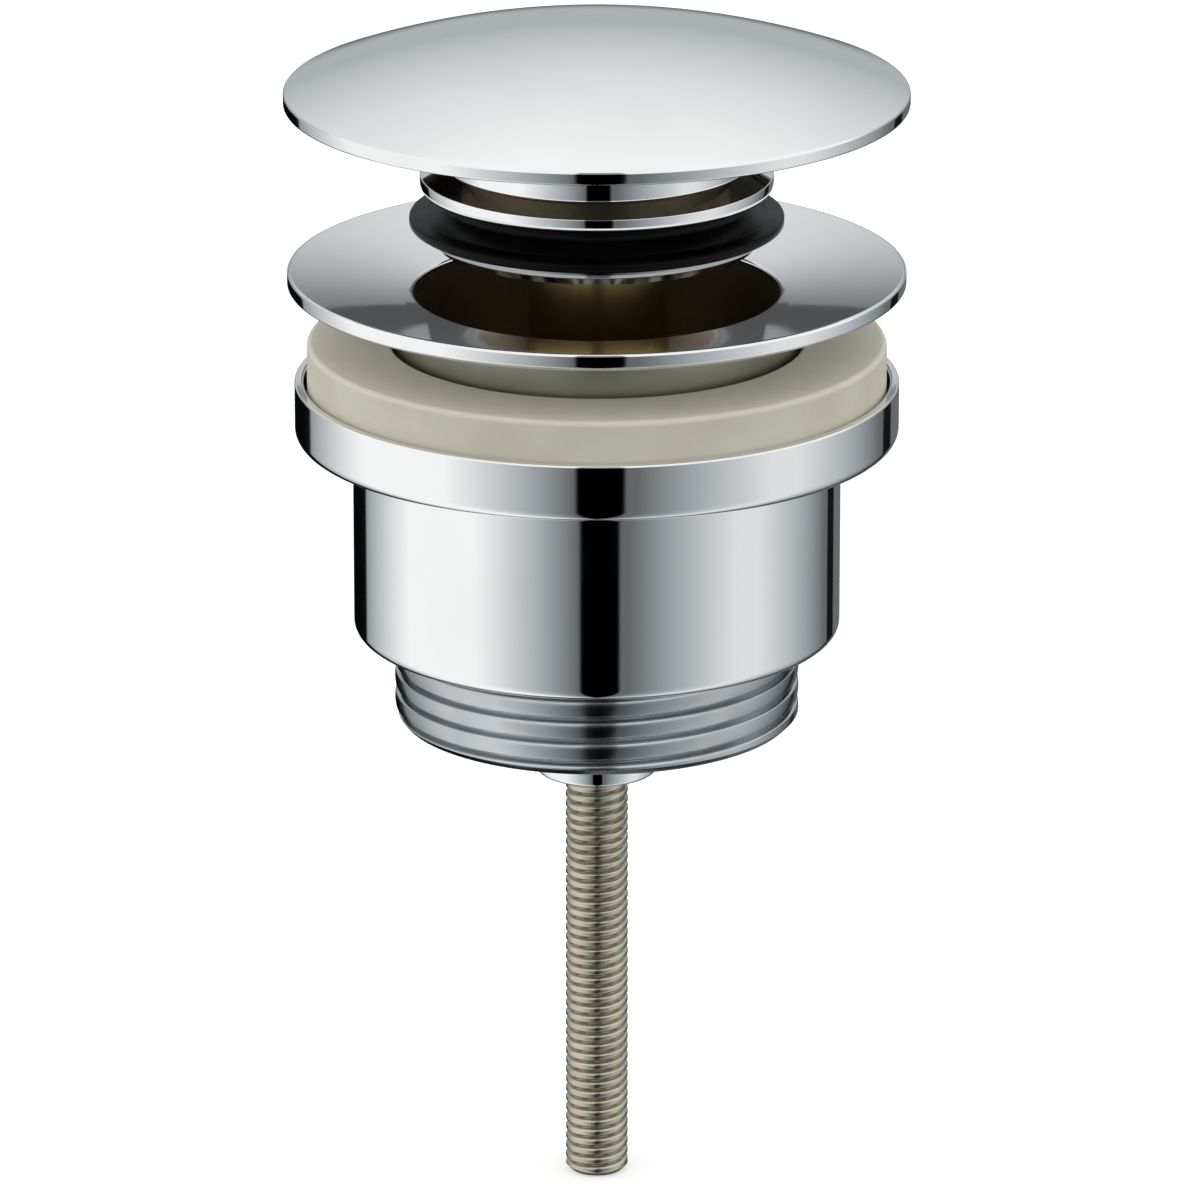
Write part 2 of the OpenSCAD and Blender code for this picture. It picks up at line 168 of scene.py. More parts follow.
class NodeBook:
    """Adds nodes to one node tree.

    Attributes:
        tree: the tree that is filled.
    """

    def __init__(self, tree: bpy.types.NodeTree) -> None:
        """Empties the tree and keeps it."""
        self.tree = tree
        tree.nodes.clear()

    def add(self, kind: str, settings: Settings, inputs: Inputs) -> bpy.types.Node:
        """Adds a node, sets it up and then feeds its inputs.

        Args:
            kind: Blender's name of the node type.
            settings: properties set before the inputs.
            inputs: values, colours or wires by input name or number.

        Returns:
            The new node.
        """
        node = self.tree.nodes.new(kind)
        for name, value in settings.items():
            setattr(node, name, value)
        for name, value in inputs.items():
            socket = node.inputs[name]
            if isinstance(value, Wire):
                self.tree.links.new(value.socket, socket)
            elif isinstance(value, tuple) and socket.type == "RGBA":
                socket.default_value = (*value, 1.0)
            else:
                socket.default_value = value
        return node

    def wire(
        self, kind: str, settings: Settings, inputs: Inputs, output: Union[int, str] = 0
    ) -> Wire:
        """One output, by its number or name, of a node that is added."""
        return Wire(self, self.add(kind, settings, inputs).outputs[output])

    def blend(self, share: Term, first: object, second: object) -> Wire:
        """Mix of two colours or wires, with a share of the second."""
        return self.wire("ShaderNodeMix", {"data_type": "RGBA"}, {0: share, 6: first, 7: second}, 2)

    def place(self) -> Wire:
        """The shaded point in the part's own frame, in metres."""
        return self.wire("ShaderNodeTexCoord", {}, {}, "Object")

    def parts(self, vector: Wire) -> tuple[Wire, Wire, Wire]:
        """The three components of a vector."""
        node = self.add("ShaderNodeSeparateXYZ", {}, {0: vector})
        return Wire(self, node.outputs[0]), Wire(self, node.outputs[1]), Wire(self, node.outputs[2])

    def radius(self, vector: Wire) -> Wire:
        """Distance of a point from the part's axis, in metres."""
        level = (1.0, 1.0, 0.0)
        flat = self.wire("ShaderNodeVectorMath", {"operation": "MULTIPLY"}, {0: vector, 1: level})
        return self.wire("ShaderNodeVectorMath", {"operation": "LENGTH"}, {0: flat}, "Value")

    def cloud(self, vector: Wire, grain_mm: float, detail: float = 3.0) -> Wire:
        """Soft noise around one half, with blotches of a given size and finer layers in them."""
        scale = 1.0 / (grain_mm * MM)
        return self.wire("ShaderNodeTexNoise", {}, {"Vector": vector, "Scale": scale, "Detail": detail})

    def bump(self, height: Wire, depth_mm: float) -> Wire:
        """Normal bent by a fine relief, from heights between zero and one."""
        inputs = {"Height": height, "Distance": depth_mm * MM, "Strength": 1.0}
        return self.wire("ShaderNodeBump", {}, inputs)


def darker(tint: Colour, share: float) -> Colour:
    """The colour at a share of its brightness."""
    return tuple(share * part for part in tint)


@dataclass(frozen=True)
class Band:
    """A stretch of a plated piece that has no bright plate.

    Attributes:
        near: smallest radius, in millimetres.
        far: largest radius.
        low: lowest height.
        high: highest height.
        tint: colour of the metal there, darkened as painted shade in the bands under the cap and on the
            spigot.
        roughness: how much rougher it is than the plate.
    """

    near: float
    far: float
    low: float
    high: float
    tint: Colour
    roughness: float

    def mask(self, book: NodeBook, point: Wire) -> Wire:
        """One inside the band, zero elsewhere.

        Args:
            book: the material's nodes.
            point: the shaded point in the part's frame.

        Returns:
            The mask.
        """
        reach = book.radius(point)
        height = book.parts(point)[2]
        ring = (reach > self.near * MM) * (reach < self.far * MM)
        return ring * (height > self.low * MM) * (height < self.high * MM)


class Bared(Enum):
    """Where a plated piece is bare, dull or freshly cut, with two stretches darkened as painted shade.
    """

    NOWHERE = ()
    # Bare brass under the cap; its very dark tint is painted shade.
    UNDER_CAP = (Band(0.0, 29.72, 18.0, 20.8, CAP_BRASS_PAINTED_SHADE, 0.2),)
    FLANGE = (
        Band(0.0, 19.2, -40.0, -1.3, BORE_BRASS, 0.17),
        # Spigot under the flange: rougher plate with a darkened olive tint as painted shade.
        Band(19.2, 21.0, -30.0, -0.9, SPIGOT_PLATE_PAINTED_SHADE, 0.25),
    )
    BODY = (
        Band(0.0, 21.7, -36.8, -15.2, BORE_BRASS, 0.2),
        Band(0.0, 17.9, -46.7, -36.8, BORE_BRASS, 0.2),
        Band(19.0, 21.2, -47.0, -37.25, CUT_PLATE, 0.07),
    )


class Finish(ABC):
    """A procedural finish that turns into one Blender material."""

    name: str
    slot: str

    @abstractmethod
    def shade(self, book: NodeBook, point: Wire) -> Inputs:
        """Gives the inputs of the main shader.

        Args:
            book: the material's nodes.
            point: the shaded point in the part's frame.

        Returns:
            Values and wires by input name.
        """

    def material(self) -> bpy.types.Material:
        """Finds or makes the material.

        Returns:
            The material with this finish.
        """
        found = bpy.data.materials.get(self.name)
        if found:
            return found
        material = bpy.data.materials.new(self.name)
        material.use_nodes = True
        book = NodeBook(material.node_tree)
        shader = book.wire("ShaderNodeBsdfPrincipled", {}, self.shade(book, book.place()))
        book.add("ShaderNodeOutputMaterial", {}, {"Surface": shader})
        return material


@dataclass(frozen=True)
class ChromePlate(Finish):
    """Bright chrome plate with a few faint smears, and stretches where the plate is missing or dull,
    some darkened as painted shade.

    Attributes:
        name: material name.
        bared: where the piece is bare, dull or cut.
        tint: colour of the plate.
        smear_tint: colour of the plate where it is faintly smeared.
        roughness: roughness of clean plate.
        slot: material slot in the record; not used.
    """

    name: str
    bared: Bared = Bared.NOWHERE
    tint: Colour = (0.89, 0.895, 0.90)
    smear_tint: Colour = (0.86, 0.865, 0.87)
    roughness: float = 0.05
    slot: str = "chrome"

    def shade(self, book: NodeBook, point: Wire) -> Inputs:
        """Plate with smears, and other metal inside each band."""
        smear = book.cloud(point, 14.0).ease(*SMEARS)
        stain = book.cloud(point, 11.0).ease(*STAINS)
        colour = book.blend(smear, self.tint, self.smear_tint)
        rough = smear * 0.02 + self.roughness
        for band in self.bared.value:
            inside = band.mask(book, point)
            # Each band's tint, stained in blotches; the tints under the cap and on the spigot hold
            # painted shade.
            band_stain_and_shade = book.blend(stain, band.tint, darker(band.tint, 0.8))
            colour = book.blend(inside, colour, band_stain_and_shade)
            rough = rough + inside * (stain * 0.06 + band.roughness)
        return {"Base Color": colour, "Metallic": 1.0, "Roughness": rough}


@dataclass(frozen=True)
class TurnedBrass(Finish):
    """Bare brass with the fine rings a lathe leaves.

    Attributes:
        name: material name.
        tint: colour of clean brass.
        stain: colour of tarnished brass.
        ring_mm: spacing of the lathe's rings.
        slot: material slot in the record; not used.
    """

    name: str
    tint: Colour = (0.47, 0.365, 0.165)
    stain: Colour = (0.36, 0.27, 0.115)
    ring_mm: float = 0.22
    slot: str = "bare_brass"

    def shade(self, book: NodeBook, point: Wire) -> Inputs:
        """Tarnish in blotches and lathe rings across the height and the faces."""
        tarnish = book.cloud(point, 12.0).ease(*STAINS)
        height = book.parts(point)[2]
        rings = ((height + book.radius(point)) * (TURN / (self.ring_mm * MM))).sine() * 0.5 + 0.5
        return {
            "Base Color": book.blend(tarnish, self.tint, self.stain),
            "Metallic": 1.0,
            "Roughness": tarnish * 0.06 + 0.2,
            "Normal": book.bump(rings, 0.004),
        }


@dataclass(frozen=True)
class RolledSteel(Finish):
    """Dull nickel-grey steel, with painted shade down in the grooves of a rolled thread.

    Attributes:
        name: material name.
        crest_r: radius over the crests, in millimetres.
        depth: depth of the grooves, in millimetres; zero leaves the steel plain.
        tint: colour on the crests.
        groove: colour down in the grooves, painted shade.
        slot: material slot in the record; not used.
    """

    name: str
    crest_r: float = 3.25
    depth: float = 0.0
    tint: Colour = (0.58, 0.55, 0.45)
    groove: Colour = (0.40, 0.365, 0.28)
    slot: str = "plain_steel"

    def shade(self, book: NodeBook, point: Wire) -> Inputs:
        """Painted shade and more roughness down in the grooves, and cloudy plating."""
        cloud = book.cloud(point, 3.0, 4.0).ease(*CLOUDS)
        colour = book.blend(cloud * 0.5, self.tint, darker(self.tint, 0.72))
        rough = cloud * 0.06 + 0.21
        if self.depth:
            # Painted shade: the colour darkens from the crests down into the grooves.
            low = (self.crest_r - 0.9 * self.depth) * MM
            high = (self.crest_r - 0.25 * self.depth) * MM
            crest = book.radius(point).ease(low, high)
            colour = book.blend(crest, self.groove, colour)
            rough = rough + (1.0 - crest) * 0.2
        return {"Base Color": colour, "Metallic": 1.0, "Roughness": rough}


@dataclass(frozen=True)
class MouldedRubber(Finish):
    """Smooth moulded rubber with a faint grain, and optional painted light on its upper face.

    Attributes:
        name: material name.
        slot: material slot in the record; not used.
        tint: main colour.
        patch: colour of the cloudy patches.
        roughness: roughness of the clean skin.
        gloss: strength of the skin's gloss.
        top_light: colour of the painted light on the upper face.
        top_light_z: height where the painted light starts.
        grain_mm: size of the skin's grain.
        relief_mm: depth of the skin's grain.
    """

    name: str
    slot: str
    tint: Colour
    patch: Colour
    roughness: float
    gloss: float
    top_light: Colour = WHITE
    top_light_z: float = 1000.0
    grain_mm: float = 0.5
    relief_mm: float = 0.01

    def shade(self, book: NodeBook, point: Wire) -> Inputs:
        """Cloudy colour, painted light on the top face mottled by noise, and a fine skin."""
        cloud = book.cloud(point, 7.0, 4.0).ease(*CLOUDS)
        # Painted light: the colour is blended towards a pale tone above a height, mottled by noise.
        painted_top_light = book.parts(point)[2].ease(self.top_light_z * MM, (self.top_light_z + 0.6) * MM)
        painted_top_light = painted_top_light * (book.cloud(point, 2.5, 4.0) * 0.5 + 0.6)
        return {
            "Base Color": book.blend(painted_top_light, book.blend(cloud, self.tint, self.patch), self.top_light),
            "Roughness": cloud * 0.08 + self.roughness,
            "Normal": book.bump(book.cloud(point, self.grain_mm, 2.0), self.relief_mm),
            "Specular IOR Level": self.gloss,
        }


@dataclass(frozen=True)
class MouldedNylon(Finish):
    """Natural off-white plastic.

    Attributes:
        name: material name.
        tint: main colour.
        patch: colour of the milky patches.
        slot: material slot in the record; not used.
    """

    name: str
    tint: Colour = (0.80, 0.80, 0.75)
    patch: Colour = (0.70, 0.69, 0.62)
    slot: str = "white_nylon"

    def shade(self, book: NodeBook, point: Wire) -> Inputs:
        """Milky patches with a satin skin."""
        cloud = book.cloud(point, 4.0).ease(0.3, 0.7)
        return {"Base Color": book.blend(cloud, self.tint, self.patch), "Roughness": cloud * 0.1 + 0.4}


SEAL_CLAMP = ChromePlate("chrome clamp", tint=DULL_CHROME, smear_tint=DULL_CHROME, roughness=0.1)
BLACK_RUBBER = MouldedRubber("black rubber", "black_rubber", JET, SOOT, 0.26, 0.1)
CREAM_RUBBER = MouldedRubber("cream rubber", "cream_rubber", CREAM, OATMEAL, 0.6, 0.4)
# Copy of the cream rubber with painted light on the ring's top face.
CREAM_RING_PAINTED_TOP = MouldedRubber("cream ring", "cream_rubber", CREAM, OATMEAL, 0.6, 0.4, RING_TOP_PAINTED_LIGHT, -6.75)
TURNED_BRASS = TurnedBrass("turned brass")
STUD_STEEL = RolledSteel("rolled stud steel", depth=0.42)
PLAIN_STEEL = RolledSteel("plain steel")
NYLON = MouldedNylon("natural nylon")


def ease_edges(
    mesh: bmesh.types.BMesh, edges: Sequence[bmesh.types.BMEdge], offset: float, steps: int
) -> None:
    """Rounds edges of a mesh.

    Args:
        mesh: the mesh.
        edges: the edges to round.
        offset: how far the rounding reaches to either side, in metres.
        steps: faces across the rounding.
    """
    bmesh.ops.bevel(
        mesh,
        geom=edges,
        offset=offset,
        offset_type="OFFSET",
        segments=steps,
        profile=0.5,
        affect="EDGES",
        material=-1,
    )


@dataclass(frozen=True)
class Corner:
    """A corner of a turned outline, in millimetres.

    Attributes:
        r: distance from the axis.
        z: height.
        rounding: radius that the corner is eased to.
        cuts: extra rings in the wall that runs on to the next corner.
        bulge: how far that wall bows out between its ends.
    """

    r: float
    z: float
    rounding: float = 0.0
    cuts: int = 0
    bulge: float = 0.0

    def at(self) -> Vector:
        """The corner's place in metres, on the X side of the axis."""
        return Vector((self.r * MM, 0.0, self.z * MM))


@dataclass(frozen=True)
class Turning:
    """A piece turned about the part's axis.

    Attributes:
        corners: the outline's corners in order.
        closed: whether the last corner runs back to the first.
        segments: steps around the axis.
        steps: rings across each eased corner.
    """

    corners: Sequence[Corner]
    closed: bool = True
    segments: int = 192
    steps: int = 4

    def build(self) -> bmesh.types.BMesh:
        """Draws the outline, turns it and eases its corners.

        Returns:
            The turned mesh in metres.
        """
        mesh = bmesh.new()
        points = [mesh.verts.new(corner.at()) for corner in self.corners]
        follow = points[1:] + (points[:1] if self.closed else [])
        for start, end in zip(points, follow):
            mesh.edges.new((start, end))
        for corner, after in zip(self.corners, self.corners[1:]):
            self.cut(mesh, corner, after)
        bmesh.ops.spin(
            mesh,
            geom=mesh.verts[:] + mesh.edges[:],
            axis=(0.0, 0.0, 1.0),
            angle=TURN,
            steps=self.segments,
            use_merge=True,
        )
        bmesh.ops.remove_doubles(mesh, verts=mesh.verts[:], dist=SAME_POINT)
        bmesh.ops.recalc_face_normals(mesh, faces=mesh.faces[:])
        self.ease(mesh)
        return mesh

    def cut(self, mesh: bmesh.types.BMesh, corner: Corner, after: Corner) -> None:
        """Cuts one wall of the outline into rings and bows it, where its corner says so.

        Args:
            mesh: the outline before it is turned.
            corner: the corner that the wall leaves from.
            after: the corner that it runs to.
        """
        if not corner.cuts:
            return
        walls = [
            edge
            for edge in mesh.edges
            if all(any(self.on(end, vert) for vert in edge.verts) for end in (corner, after))
        ]
        made = bmesh.ops.subdivide_edges(mesh, edges=walls, cuts=corner.cuts)
        if not corner.bulge:
            return
        chord = after.at() - corner.at()
        side = Vector((chord.z, 0.0, -chord.x)).normalized()
        sag = corner.bulge * MM
        arc_r = (chord.length_squared / 4.0 + sag * sag) / (2.0 * sag)
        middle = (corner.at() + after.at()) / 2.0
        for vert in (item for item in made["geom_inner"] if isinstance(item, bmesh.types.BMVert)):
            along = (vert.co - middle).dot(chord.normalized())
            vert.co += side * (math.sqrt(arc_r * arc_r - along * along) - (arc_r - sag))

    def ease(self, mesh: bmesh.types.BMesh) -> None:
        """Bevels the rings of edges at every corner that has a rounding.

        Args:
            mesh: the turned mesh.
        """
        count = len(self.corners)
        for index, corner in enumerate(self.corners):
            if not corner.rounding:
                continue
            before = self.corners[index - 1].at()
            after = self.corners[(index + 1) % count].at()
            bend = (corner.at() - before).angle(after - corner.at())
            rings = [edge for edge in mesh.edges if all(self.on(corner, vert) for vert in edge.verts)]
            ease_edges(mesh, rings, corner.rounding * MM * math.tan(bend / 2.0), self.steps)

    @staticmethod
    def on(corner: Corner, vert: bmesh.types.BMVert) -> bool:
        """Whether a vertex lies on the ring turned from a corner."""
        off_r = math.hypot(vert.co.x, vert.co.y) - corner.r * MM
        return abs(off_r) < SAME_RING and abs(vert.co.z - corner.z * MM) < SAME_RING


@dataclass(frozen=True)
class Thread:
    """A right-hand thread pressed into a turned wall.

    Attributes:
        crest_r: radius of the wall, in millimetres.
        pitch: rise of one turn.
        depth: depth of the groove.
        groove_z: height of a groove at the front.
        low: lowest height that is threaded.
        high: highest height that is threaded.
        fade: length over which the groove runs out at each end.
        share: share of the pitch that the groove takes.
        crown: how far the land between grooves falls away towards them.
    """

    crest_r: float
    pitch: float
    depth: float
    groove_z: float
    low: float
    high: float
    fade: float
    share: float
    crown: float

    def press(self, mesh: bmesh.types.BMesh) -> None:
        """Moves the wall's vertices in to form the groove.

        Args:
            mesh: the turned mesh.
        """
        for vert in mesh.verts:
            height = vert.co.z / MM
            reach = math.hypot(vert.co.x, vert.co.y) / MM
            if abs(reach - self.crest_r) > ON_WALL or not self.low < height < self.high:
                continue
            around = math.atan2(vert.co.y, vert.co.x) / TURN + 0.25
            phase = (height - self.groove_z) / self.pitch - around
            away = abs(phase - round(phase)) * 2.0
            ends = min(1.0, (height - self.low) / self.fade, (self.high - height) / self.fade)
            sink = (self.groove(away) + self.land(away)) * ends / self.crest_r
            vert.co.x *= 1.0 - sink
            vert.co.y *= 1.0 - sink

    def groove(self, away: float) -> float:
        """Depth of the groove at a distance from its middle, where one is the middle of the land."""
        return self.depth * (0.5 + 0.5 * math.cos(math.pi * min(1.0, away / self.share)))

    def land(self, away: float) -> float:
        """Fall of the crowned land at a distance from the groove's middle."""
        return self.crown * (1.0 - away) ** 2


class Piece:
    """One finished piece of the object.

    Attributes:
        name: the piece's name.
        mesh: its mesh in the making.
    """

    def __init__(self, name: str, mesh: bmesh.types.BMesh) -> None:
        """Takes the name and the first mesh."""
        self.name = name
        self.mesh = mesh

    @classmethod
    def turned(cls, name: str, *corners: Corner, **choices: Union[bool, int]) -> "Piece":
        """A piece turned from its outline's corners, with any other choice that Turning has."""
        return cls(name, Turning(corners, **choices).build())

    def join(self, other: bmesh.types.BMesh) -> "Piece":
        """Adds another mesh to the piece.

        Args:
            other: the mesh to add, which is freed.

        Returns:
            The piece itself.
        """
        spare = bpy.data.meshes.new("spare")
        other.to_mesh(spare)
        other.free()
        self.mesh.from_mesh(spare)
        bpy.data.meshes.remove(spare)
        return self

    def settle(self, finish: Finish, body: str, node: str, crease: float = 32.0) -> None:
        """Makes the object, dresses it and sets it on its body.

        Args:
            finish: the piece's finish.
            body: the body it moves with.
            node: the plain solid it stands for.
            crease: edges sharper than this many degrees stay crisp.
        """
        data = bpy.data.meshes.new(self.name)
        self.mesh.to_mesh(data)
        self.mesh.free()
        data.shade_smooth()
        data.set_sharp_from_angle(angle=math.radians(crease))
        data.materials.append(finish.material())
        thing = bpy.data.objects.new(self.name, data)
        bpy.context.scene.collection.objects.link(thing)
        weighted = thing.modifiers.new("even shading", "WEIGHTED_NORMAL")
        weighted.keep_sharp = True
        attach(thing, body)
        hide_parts(node)
        LOG.info("%s: %d faces on %s", self.name, len(data.polygons), body)


@dataclass(frozen=True)
class Spider:
    """Straight arms from a hub out to a wall.

    Attributes:
        reach: radius the arms end at, in millimetres.
        low: height of the arms' lower face.
        height: height of the arms.
        width: width of the arms.
        count: number of arms.
        turn: angle of the first arm in degrees.
        ease: bevel along the arms' edges.
    """

    reach: float
    low: float
    height: float
    width: float
    count: int = 4
    turn: float = 45.0
    ease: float = 0.35

    def build(self) -> bmesh.types.BMesh:
        """Makes each pair of opposite arms as one eased bar.

        Returns:
            The arms' mesh in metres.
        """
        mesh = bmesh.new()
        middle = Matrix.Translation((0.0, 0.0, (self.low + self.height / 2.0) * MM))
        size = Matrix.Diagonal((2.0 * self.reach * MM, self.width * MM, self.height * MM, 1.0))
        for index in range(self.count // 2):
            angle = math.radians(self.turn + index * 360.0 / self.count)
            bmesh.ops.create_cube(mesh, size=1.0, matrix=Matrix.Rotation(angle, 4, "Z") @ middle @ size)
        ease_edges(mesh, mesh.edges[:], self.ease * MM, 2)
        return mesh


@dataclass(frozen=True)
class Plug:
    """The plug that is pushed: domed cap, neck with its disc, lip seal and retainer.

    Attributes:
        cap_r: radius of the cap.
        cap_z: height of the cap's underside.
        rim_h: height of the cap's straight rim.
        dome_h: rise of the dome.
        foot_r: inner radius of the foot under the cap.
        pad_r: radius of the pad around the neck.
        recess_h: depth of the recess under the cap.
        hole_r: radius of the plunger's hole.
        hole_top: height of that hole's end.
        neck_r: radius of the neck.
        flare_z: height where the neck starts to flare.
        disc_r: radius of the disc.
        disc_z: height of the disc's upper edge.
        disc_under: height of the disc's underside.
        disc_round: rounding under the disc.
        seat_r: radius of the seal's seat.
        seat_low: height of the seat's lower end.
        hollow_r: radius of the hollow around the cartridge.
        hollow_top: height of that hollow's roof.
        seal_r: radius of the seal's hub.
        seal_low: height of the seal's bottom.
        lip_r: radius of the lip.
        lip_low: height of the lip's lower edge.
        lip_t: thickness of the lip.
        retainer_r: radius of the retainer.
        retainer_low: height of the retainer's bottom.
        retainer_bevel: bevel of the retainer's lower edge.
    """

    cap_r: float = 32.0
    cap_z: float = 18.95
    rim_h: float = 1.4
    dome_h: float = 6.1
    foot_r: float = 29.6
    pad_r: float = 17.0
    recess_h: float = 1.6
    hole_r: float = 3.0
    hole_top: float = 22.5
    neck_r: float = 15.4
    flare_z: float = 12.6
    disc_r: float = 18.1
    disc_z: float = 11.6
    disc_under: float = 9.7
    disc_round: float = 1.15
    seat_r: float = 11.5
    seat_low: float = 4.75
    hollow_r: float = 7.6
    hollow_top: float = 12.955
    seal_r: float = 15.59
    seal_low: float = 6.1
    lip_r: float = 19.2
    lip_low: float = 6.25
    lip_t: float = 1.0
    retainer_r: float = 17.3
    retainer_low: float = 4.35
    retainer_bevel: float = 0.85

    def cap(self) -> Piece:
        """Turns the domed cap with its recess and blind hole.

        Returns:
            The cap.
        """
        rim_top = self.cap_z + self.rim_h
        apex = rim_top + self.dome_h
        half = math.hypot(self.cap_r, self.dome_h) / 2.0
        dome_r = 2.0 * half * half / self.dome_h
        sag = dome_r - math.sqrt(dome_r * dome_r - half * half)
        ceiling = self.cap_z + self.recess_h
        return Piece.turned(
            "domed_cap",
            Corner(0.0, self.hole_top),
            Corner(self.hole_r, self.hole_top),
            Corner(self.hole_r, self.cap_z),
            Corner(self.pad_r, self.cap_z, 0.2),
            Corner(self.pad_r, ceiling, 0.4),
            Corner(self.foot_r, ceiling, 0.4),
            Corner(self.foot_r, self.cap_z, 0.25),
            Corner(self.cap_r, self.cap_z, 0.28),
            Corner(self.cap_r, rim_top, 0.3, cuts=30, bulge=sag),
            Corner(0.0, apex),
            closed=False,
        )

    def neck(self) -> Piece:
        """Turns the neck that flares into the disc.

        Returns:
            The neck with its disc and seat.
        """
        return Piece.turned(
            "neck_and_disc",
            Corner(self.hole_r, self.cap_z),
            Corner(self.neck_r, self.cap_z),
            Corner(self.neck_r, self.flare_z, 0.35),
            Corner(self.disc_r, self.disc_z, 0.15),
            Corner(self.disc_r, self.disc_under, self.disc_round),
            Corner(self.seat_r, self.disc_under),
            Corner(self.seat_r, self.seat_low, 0.2),
            Corner(self.hollow_r, self.seat_low, 0.2),
            Corner(self.hollow_r, self.hollow_top),
            Corner(self.hole_r, self.hollow_top),
            steps=6,
        )

    def seal(self) -> Piece:
        """Turns the rubber seal with its lip.

        Returns:
            The seal.
        """
        top = self.lip_low + self.lip_t
        return Piece.turned(
            "lip_seal",
            Corner(self.seat_r, self.seal_low),
            Corner(self.seal_r, self.seal_low, 0.3),
            Corner(self.lip_r, self.lip_low, 0.3),
            Corner(self.lip_r, top, 0.3),
            Corner(self.seal_r + 2.0 * self.lip_t, top + 0.15, 0.8),
            Corner(self.seal_r, top + 1.5 * self.lip_t, 0.8),
            Corner(self.seal_r, self.disc_under),
            Corner(self.seat_r, self.disc_under),
        )

    def retainer(self) -> Piece:
        """Turns the bevelled ring under the seal.

        Returns:
            The retainer.
        """
        bevel = self.retainer_bevel
        return Piece.turned(
            "seal_clamp",
            Corner(self.seat_r, self.retainer_low),
            Corner(self.retainer_r - bevel, self.retainer_low, 0.2),
            Corner(self.retainer_r, self.retainer_low + bevel, 0.2),
            Corner(self.retainer_r, self.seal_low, 0.15),
            Corner(self.seat_r, self.seal_low),
        )

    def dress(self) -> None:
        """Builds the plug's pieces and sets them on the plug's body."""
        self.cap().settle(ChromePlate("chrome cap", Bared.UNDER_CAP), "plug", "cap")
        self.neck().settle(ChromePlate("chrome plug"), "plug", "plug_body")
        self.seal().settle(BLACK_RUBBER, "plug", "plug_seal")
        self.retainer().settle(SEAL_CLAMP, "plug", "seal_retainer")


